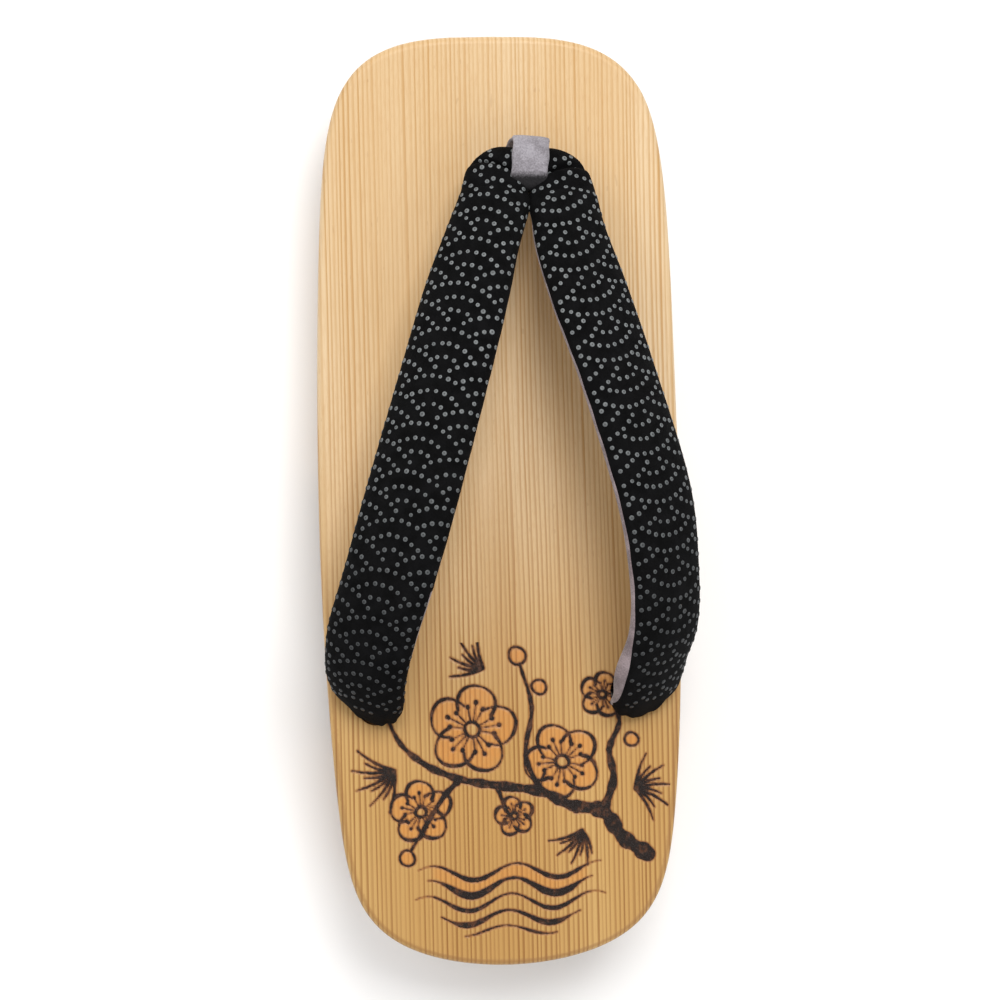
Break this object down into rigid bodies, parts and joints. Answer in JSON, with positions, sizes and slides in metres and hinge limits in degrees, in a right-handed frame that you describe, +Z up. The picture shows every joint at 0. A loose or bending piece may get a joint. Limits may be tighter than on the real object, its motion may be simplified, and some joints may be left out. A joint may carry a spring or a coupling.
{
  "type": "geta sandal",
  "caption": "Left geta: a carved cedar base on low feet with an arch between them, a padded V strap with a dotted print, its felt front loop and cord knots.",
  "frame": {"origin": "on the floor, under the middle of the base's length and width", "axes": "+Y to the toe, +X to the big toe's side, +Z up"},
  "size_m": [0.1007, 0.255, 0.0725],
  "materials": {
    "cedar": "brushed straight grain, thin satin lacquer",
    "strap_cotton": "matte black cotton with small raised grey dots",
    "loop_felt": "soft grey felt",
    "knot_cord": "twisted cotton cord"
  },
  "bodies": {
    "root": {"base": "cedar", "straps": "strap_cotton", "front_loop": "loop_felt", "front_knot": "knot_cord", "rear_knot_left": "knot_cord", "rear_knot_right": "knot_cord"}
  },
  "joints": []
}
